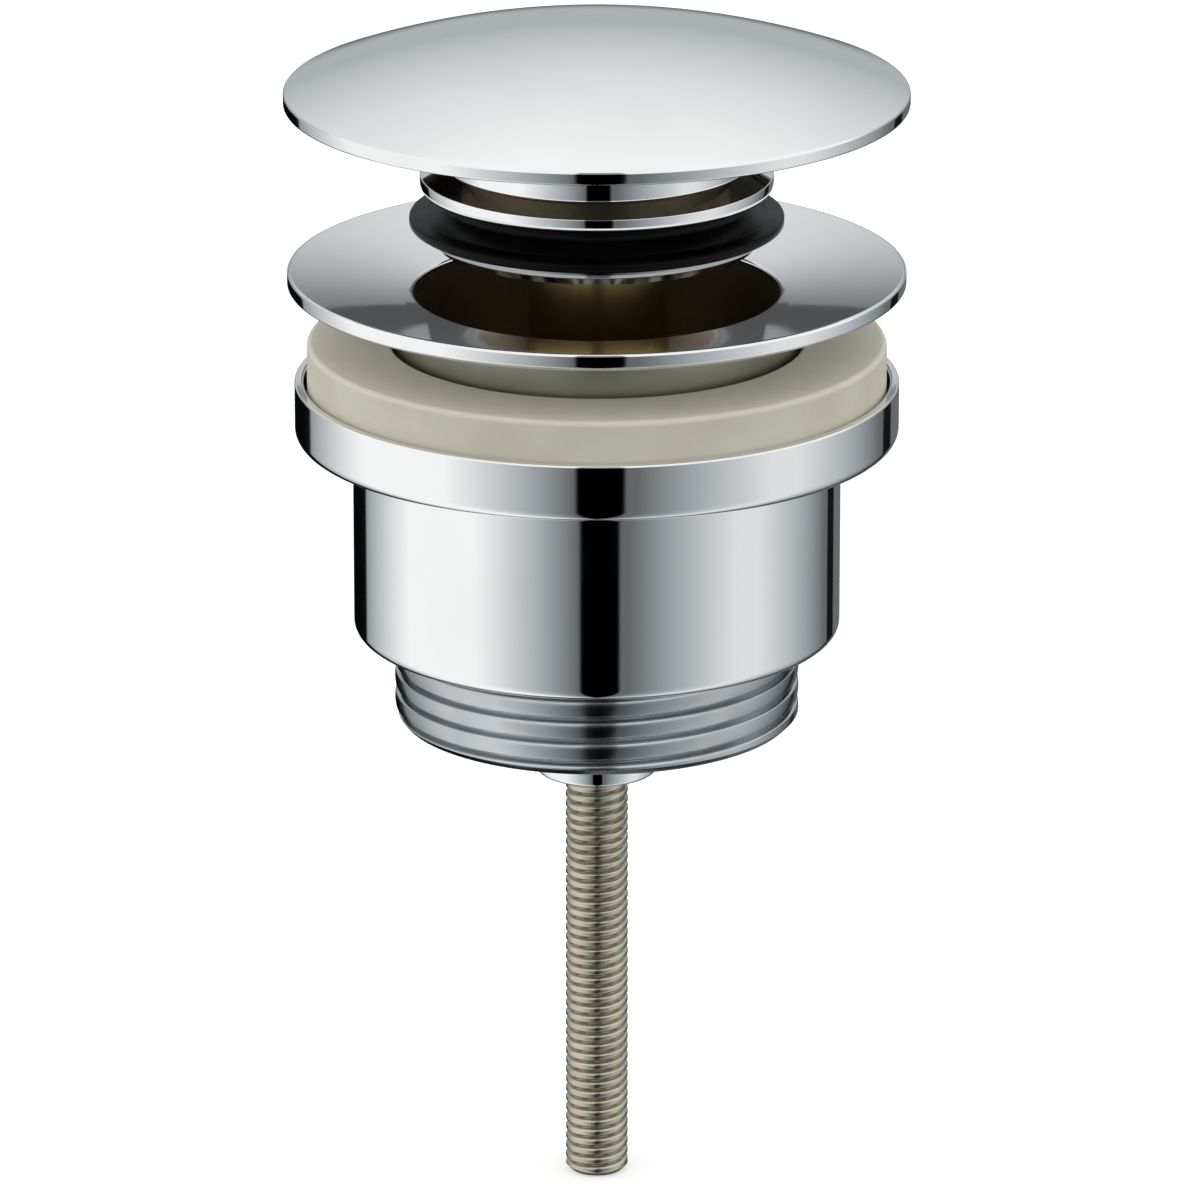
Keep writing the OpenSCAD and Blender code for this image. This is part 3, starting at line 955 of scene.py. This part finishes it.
@dataclass(frozen=True)
class FlangeGroup:
    """What stays put in the basin: flange with its spigot and spider, cartridge and stud.

    Attributes:
        rim_r: radius of the flange.
        rim_t: thickness of the rim.
        mouth_z: height of the dished top at the mouth.
        bore_r: radius of the spigot's bore.
        spigot_r: radius of the spigot.
        spigot_z: height of the spigot's end.
        seat_r: inner radius of the flat seat under the rim.
        skirt_z: height where the cone under the rim meets the spigot.
        hub_r: radius of the hub in the spigot.
        hub_top: height of the hub's top.
        hub_low: height of the hub's bottom.
        stem_r: radius of the cartridge's stem.
        stem_z: height of the stem's end.
        cartridge_r: radius of the cartridge.
        cartridge_top: height of the cartridge's top.
        shoulder_z: height of the cartridge's shoulder.
        latch_r: radius of the bore around the latch.
        latch_z: height of the step in the bore.
        spring_r: radius of the bore around the spring.
        floor_z: height of the bore's floor.
        stud_r: radius over the stud's crests.
        stud_top: height of the stud's upper end.
        stud_low: height of the stud's free end.
        stud_point: point at the stud's end.
        stud_pitch: pitch of the stud's thread.
        stud_depth: depth of the stud's grooves.
    """

    rim_r: float = 31.75
    rim_t: float = 1.6
    mouth_z: float = -0.832
    bore_r: float = 18.8
    spigot_r: float = 20.7
    spigot_z: float = -29.0
    seat_r: float = 28.0
    skirt_z: float = -2.4
    hub_r: float = 8.0
    hub_top: float = -22.0103
    hub_low: float = -34.2103
    stem_r: float = 5.0
    stem_z: float = -26.7103
    cartridge_r: float = 7.1
    cartridge_top: float = 4.0
    shoulder_z: float = -21.2103
    latch_r: float = 6.0
    latch_z: float = -10.1051
    spring_r: float = 4.9
    floor_z: float = -19.2103
    stud_r: float = 3.25
    stud_top: float = -28.0103
    stud_low: float = -97.2
    stud_point: float = 0.6
    stud_pitch: float = 1.058
    stud_depth: float = 0.42

    def flange(self) -> Piece:
        """Turns the flange and its hub, and joins the spider's arms.

        Returns:
            The flange.
        """
        outline = Turning(
            [
                Corner(self.bore_r, self.spigot_z, 0.2),
                Corner(self.spigot_r, self.spigot_z, 0.3),
                Corner(self.spigot_r, self.skirt_z, 0.5),
                Corner(self.seat_r, 0.0, 0.3),
                Corner(self.rim_r, 0.0, 0.25),
                Corner(self.rim_r, self.rim_t, 0.32),
                Corner(self.bore_r, self.mouth_z, 0.35),
            ]
        )
        hub = Turning(
            [
                Corner(self.stud_r, self.hub_low),
                Corner(self.hub_r, self.hub_low, 0.4),
                Corner(self.hub_r, self.hub_top, 0.4),
                Corner(self.stem_r, self.hub_top),
                Corner(self.stem_r, self.stem_z),
                Corner(self.stud_r, self.stem_z),
            ],
            segments=96,
        )
        arms = Spider(reach=self.bore_r + 0.4, low=self.spigot_z, height=5.0, width=3.6)
        return Piece("dished_flange", outline.build()).join(hub.build()).join(arms.build())

    def cartridge(self) -> Piece:
        """Turns the brass cartridge with its stepped bore.

        Returns:
            The cartridge.
        """
        return Piece.turned(
            "brass_cartridge",
            Corner(0.0, self.floor_z),
            Corner(self.spring_r, self.floor_z),
            Corner(self.spring_r, self.latch_z),
            Corner(self.latch_r, self.latch_z),
            Corner(self.latch_r, self.cartridge_top, 0.15),
            Corner(self.cartridge_r, self.cartridge_top, 0.3),
            Corner(self.cartridge_r, self.shoulder_z, 0.2),
            Corner(self.stem_r, self.shoulder_z),
            Corner(self.stem_r, self.stem_z, 0.3),
            Corner(0.0, self.stem_z),
            closed=False,
            segments=96,
        )

    def stud(self) -> Piece:
        """Turns the stud and presses its thread.

        Returns:
            The stud.
        """
        outline = Turning(
            [
                Corner(0.0, self.stud_low),
                Corner(self.stud_r - self.stud_point, self.stud_low),
                Corner(self.stud_r, self.stud_low + self.stud_point, cuts=640),
                Corner(self.stud_r, self.stud_top),
                Corner(0.0, self.stud_top),
            ],
            closed=False,
            segments=48,
        )
        thread = Thread(
            crest_r=self.stud_r,
            pitch=self.stud_pitch,
            depth=self.stud_depth,
            groove_z=self.stud_low + 1.3,
            low=self.stud_low + self.stud_point,
            high=self.stud_top,
            fade=0.4,
            share=0.62,
            crown=0.03,
        )
        mesh = outline.build()
        thread.press(mesh)
        return Piece("threaded_stud", mesh)

    def dress(self) -> None:
        """Builds the fixed pieces and sets them on the flange's body."""
        body = "waste_flange"
        self.flange().settle(ChromePlate("chrome flange", Bared.FLANGE), body, "flange")
        self.cartridge().settle(TURNED_BRASS, body, "cartridge_body")
        self.stud().settle(STUD_STEEL, body, "stud", crease=75.0)


@dataclass(frozen=True)
class ClampGroup:
    """What is screwed up from below: the soft seal ring, and the cup, barrel and threaded tail in one.

    Attributes:
        ring_bore_r: radius of the seal ring's bore.
        ring_r: radius of the seal ring.
        ring_low: height of the seal ring's bottom.
        ring_top: height of the seal ring's top.
        cup_r: radius of the cup.
        cup_in_r: radius inside the cup.
        cup_top: height of the cup's rim.
        cup_low: height of the cup's underside.
        cup_floor: height of the cup's floor.
        barrel_r: radius of the barrel.
        barrel_low: height of the barrel's lower face.
        bore_r: radius of the bore around the spigot.
        bore_floor: height of that bore's floor.
        thread_r: radius over the tail's crests.
        tail_low: height of the tail's end.
        tail_taper: taper at the tail's end.
        tail_bore_r: radius of the tail's bore.
        pitch: pitch of the trap thread.
        depth: depth of the trap thread's groove.
        groove_z: height of the first groove at the front.
        hub_r: radius of the screw hub.
        hub_low: height of the hub's bottom.
        hub_top: height of the hub's top.
        hub_bore_r: radius of the hub's hole.
    """

    ring_bore_r: float = 21.2
    ring_r: float = 29.8
    ring_low: float = -14.48
    ring_top: float = -6.08
    cup_r: float = 31.1
    cup_in_r: float = 30.15
    cup_top: float = -10.28
    cup_low: float = -16.38
    cup_floor: float = -15.08
    barrel_r: float = 25.15
    barrel_low: float = -37.2
    bore_r: float = 21.6
    bore_floor: float = -35.3
    thread_r: float = 20.955
    tail_low: float = -46.55
    tail_taper: float = 0.7
    tail_bore_r: float = 17.6
    pitch: float = 2.309
    depth: float = 0.8
    groove_z: float = -40.5
    hub_r: float = 6.3
    hub_low: float = -52.8
    hub_top: float = -41.2
    hub_bore_r: float = 3.31

    def ring(self) -> Piece:
        """Turns the soft seal ring.

        Returns:
            The ring.
        """
        return Piece.turned(
            "soft_ring",
            Corner(self.ring_bore_r, self.ring_low, 0.3),
            Corner(self.ring_r, self.ring_low, 0.3),
            Corner(self.ring_r, self.ring_top, 0.6),
            Corner(self.ring_bore_r, self.ring_top, 0.5),
            steps=6,
        )

    def body(self) -> Piece:
        """Turns the cup, barrel and tail, presses the trap thread and joins the screw hub.

        Returns:
            The lower body.
        """
        taper = self.tail_taper
        outline = Turning(
            [
                Corner(self.tail_bore_r, self.tail_low, 0.25),
                Corner(self.thread_r - taper, self.tail_low, 0.2),
                Corner(self.thread_r, self.tail_low + taper, cuts=150),
                Corner(self.thread_r, self.barrel_low),
                Corner(self.barrel_r, self.barrel_low, 1.2),
                Corner(self.barrel_r, self.cup_low, 0.5),
                Corner(self.cup_r, self.cup_low, 1.2),
                Corner(self.cup_r, self.cup_top, 0.25),
                Corner(self.cup_in_r, self.cup_top, 0.25),
                Corner(self.cup_in_r, self.cup_floor, 0.4),
                Corner(self.bore_r, self.cup_floor, 0.2),
                Corner(self.bore_r, self.bore_floor, 0.5),
                Corner(self.tail_bore_r, self.bore_floor, 0.2),
            ],
            steps=6,
        )
        mesh = outline.build()
        thread = Thread(
            crest_r=self.thread_r,
            pitch=self.pitch,
            depth=self.depth,
            groove_z=self.groove_z,
            low=self.tail_low + 0.3,
            high=self.barrel_low - 0.25,
            fade=0.9,
            share=0.36,
            crown=0.2,
        )
        thread.press(mesh)
        hub = Turning(
            [
                Corner(self.hub_bore_r, self.hub_low, 0.25),
                Corner(self.hub_r, self.hub_low, 0.5),
                Corner(self.hub_r, self.hub_top, 0.4),
                Corner(self.hub_bore_r, self.hub_top, 0.25),
            ],
            segments=96,
        )
        arms = Spider(reach=self.tail_bore_r + 0.3, low=self.tail_low + 0.6, height=4.0, width=4.0)
        return Piece("cup_and_tail", mesh).join(hub.build()).join(arms.build())

    def dress(self) -> None:
        """Builds the clamping pieces and sets them on their bodies."""
        self.ring().settle(CREAM_RING_PAINTED_TOP, "clamp_seal", "seal_ring")
        plate = ChromePlate("chrome body", Bared.BODY)
        self.body().settle(plate, "screw_body", "lower_body", crease=80.0)


@dataclass(frozen=True)
class InnerWorks:
    """Plain solids that keep their own shape and only take a finish.

    Attributes:
        finishes: finish of each such solid by its name.
    """

    finishes: Mapping[str, Finish]

    def dress(self) -> None:
        """Puts each finish on its solid."""
        for node, finish in self.finishes.items():
            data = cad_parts[node].data
            data.materials.clear()
            data.materials.append(finish.material())
            LOG.info("%s: %s", node, finish.name)


@dataclass(frozen=True)
class Panel:
    """An upright white wall of the studio or a dark gap, seen from the object.

    Attributes:
        middle: direction of its middle in degrees, zero towards the camera, right positive.
        half: half of its even part in degrees.
        fade: degrees over which it fades out on either side.
        strength: brightness of a wall, or darkness of a gap.
    """

    middle: float
    half: float
    fade: float
    strength: float

    def glow(self, around: Wire) -> Wire:
        """Strength of the panel by direction.

        Args:
            around: direction in degrees.

        Returns:
            The panel's strength, fading to zero at its ends.
        """
        off = around.math("ABSOLUTE", around - self.middle)
        share = (self.half + self.fade - off) / self.fade
        return share.math("MINIMUM", share.math("MAXIMUM", share, 0.0), 1.0) * self.strength


SOLID = (1.0, 1.0)


@dataclass(frozen=True)
class Card:
    """One grey card standing behind the flange, in millimetres: a dark sheet seen only in reflections,
    painting shade into the plate.

    Attributes:
        half: half its width.
        low: height of its lower edge.
        top: height of its upper edge.
        hides: how much it hides along its lower edge and its upper edge.
    """

    half: float
    low: float
    top: float
    hides: tuple[float, float] = SOLID


@dataclass(frozen=True)
class Studio:
    """Pale floor, soft room light and the camera.

    Attributes:
        floor_z: height of the floor.
        floor_half: half the floor's width.
        floor_glow: how much the floor shines by itself.
        eye: the camera's place in metres.
        pitch_deg: the camera's tilt up from straight down, in degrees.
        lens: focal length in millimetres on a 36 millimetre sensor.
        panels: white walls that light the room.
        gaps: dark gaps between them, the first one around the camera.
        room: brightness of the bare room.
        ceiling: brightness of the ceiling where it is lowest.
        ceiling_rise: how much brighter it grows towards the top.
        soft_box: brightness of the large soft box above the camera.
        box_gap: how much the camera's gap dims the soft box.
        cards: grey cards that paint shade into the plate's reflections, each a millimetre behind the
            one before.
        card_back: how far behind the axis the first card stands.
    """

    floor_z: float = -97.25
    floor_half: float = 6000.0
    floor_glow: float = 0.4
    eye: tuple[float, float, float] = (0.00033, -0.9615, 0.2764)
    pitch_deg: float = 72.09
    lens: float = 292.56
    panels: Sequence[Panel] = (Panel(-80.0, 20.0, 60.0, 1.0), Panel(76.0, 6.0, 67.0, 0.81))
    gaps: Sequence[Panel] = (
        Panel(1.4, 8.6, 1.5, 1.0),
        Panel(-157.0, 14.5, 2.5, 0.985),
        Panel(146.5, 4.5, 1.5, 0.95),
    )
    room: float = 0.15
    ceiling: float = 0.46
    ceiling_rise: float = 0.8
    soft_box: float = 1.7
    box_gap: float = 0.84
    cards: Sequence[Card] = (
        Card(30.0, -8.0, 8.8),
        Card(15.8, -8.0, 9.8),
        Card(14.4, -8.0, 15.0),
        Card(70.0, 8.0, 22.5, (0.7, 0.0)),
    )
    card_back: float = 55.0

    def board(
        self,
        name: str,
        size: Sequence[float],
        tone: Colour,
        glow: float,
        hides: tuple[float, float] = SOLID,
    ) -> bpy.types.Object:
        """Makes one flat board of the studio, level and around the origin.

        Args:
            name: the board's name.
            size: half of its width and depth in millimetres.
            tone: its colour.
            glow: how much it shines by itself.
            hides: how much it hides along its near edge and its far edge.

        Returns:
            The board, linked into the scene.
        """
        mesh = bmesh.new()
        bmesh.ops.create_grid(mesh, x_segments=1, y_segments=1, size=MM)
        bmesh.ops.scale(mesh, verts=mesh.verts[:], vec=(size[0], size[1], 1.0))
        data = bpy.data.meshes.new(name)
        mesh.to_mesh(data)
        mesh.free()
        material = bpy.data.materials.new(name)
        material.use_nodes = True
        book = NodeBook(material.node_tree)
        paper = book.blend(book.cloud(book.place(), 400.0), tone, darker(tone, 0.97))
        sockets: dict[object, object] = {
            "Base Color": paper,
            "Roughness": 0.9,
            "Emission Color": paper,
            "Emission Strength": glow,
        }
        if hides != SOLID:
            slope = (hides[1] - hides[0]) / (2.0 * size[1] * MM)
            sockets["Alpha"] = book.parts(book.place())[1] * slope + (hides[0] + hides[1]) / 2.0
        shader = book.wire("ShaderNodeBsdfPrincipled", {}, sockets)
        book.add("ShaderNodeOutputMaterial", {}, {"Surface": shader})
        data.materials.append(material)
        thing = bpy.data.objects.new(name, data)
        bpy.context.scene.collection.objects.link(thing)
        return thing

    def floor(self) -> None:
        """Lays the pale floor under the stud's end."""
        thing = self.board("pale floor", (self.floor_half, self.floor_half), PAPER, self.floor_glow)
        thing.location.z = self.floor_z * MM
        thing.visible_glossy = False
        thing.visible_diffuse = False

    def stand_cards(self) -> None:
        """Stands the grey cards behind the flange, seen only in the plate, where they paint shade into
        its reflections.
        """
        for number, card in enumerate(self.cards):
            half_h = (card.top - card.low) / 2.0
            thing = self.board(f"grey card {number}", (card.half, half_h), SHADE_CARD_GREY, 0.0, card.hides)
            thing.rotation_euler.x = TURN / 4.0
            thing.location = (0.0, (self.card_back + number) * MM, (card.low + half_h) * MM)
            thing.visible_camera = False
            thing.visible_diffuse = False
            thing.visible_shadow = False

    def light(self) -> None:
        """Fills the world with the room's soft panels and a pale ceiling."""
        world = bpy.data.worlds.new("studio room")
        world.use_nodes = True
        bpy.context.scene.world = world
        book = NodeBook(world.node_tree)
        east, north, up = book.parts(book.wire("ShaderNodeTexCoord", {}, {}, "Generated"))
        around = east.math("ARCTAN2", east, 0.0 - north) * (360.0 / TURN)
        walls: Term = self.room
        for panel in self.panels:
            walls = around.math("MAXIMUM", walls, panel.glow(around))
        for gap in self.gaps:
            walls = walls * (1.0 - gap.glow(around))
        back = north.ease(-0.1, 0.6)
        ceiling = up.math("MAXIMUM", up - 0.15, 0.0) * self.ceiling_rise + self.ceiling
        shade = self.gaps[0].glow(around) * (1.0 - up.ease(0.7, 0.92)) * self.box_gap
        above = ceiling * back + (1.0 - back) * self.soft_box * (1.0 - shade)
        cover = north.ease(0.55, 0.92) * up.ease(-0.22, -0.03)
        cover = cover.math("MAXIMUM", cover, up.ease(-0.08, 0.2))
        level = walls * (1.0 - cover) + above * cover
        sky = book.blend(level, (0.0, 0.0, 0.0), book.blend(level.ease(0.3, 0.95), COOL, WHITE))
        glow = book.wire("ShaderNodeBackground", {}, {"Color": sky, "Strength": 1.0})
        book.add("ShaderNodeOutputWorld", {}, {"Surface": glow})

    def camera(self) -> None:
        """Sets the camera where the photograph was taken from."""
        data = bpy.data.cameras.new("camera")
        data.lens = self.lens
        data.sensor_width = 36.0
        data.clip_end = 100.0
        thing = bpy.data.objects.new("camera", data)
        thing.location = self.eye
        thing.rotation_euler = (math.radians(self.pitch_deg), 0.0, 0.0)
        bpy.context.scene.collection.objects.link(thing)
        bpy.context.scene.camera = thing
        bpy.context.scene.view_settings.view_transform = "Standard"

    def dress(self) -> None:
        """Lays the floor, lights the room and places the camera."""
        self.floor()
        self.stand_cards()
        self.light()
        self.camera()


def main() -> None:
    """Builds the sub-assemblies in order and reports each piece."""
    logging.basicConfig(level=logging.INFO, format="%(message)s")
    Plug().dress()
    FlangeGroup().dress()
    ClampGroup().dress()
    InnerWorks(
        {
            "plunger": PLAIN_STEEL,
            "cartridge_gland": TURNED_BRASS,
            "guide_bush": NYLON,
            "shaft_o_ring": BLACK_RUBBER,
            "spacer_sleeve": TURNED_BRASS,
            "return_spring": PLAIN_STEEL,
            "cartridge_washer": NYLON,
            "latch_ring": PLAIN_STEEL,
            "latch_ball": PLAIN_STEEL,
            "flange_gasket": CREAM_RUBBER,
            "stud_lock_nut": TURNED_BRASS,
            "slip_washer": NYLON,
        }
    ).dress()
    Studio().dress()


if __name__ == "__main__":
    main()
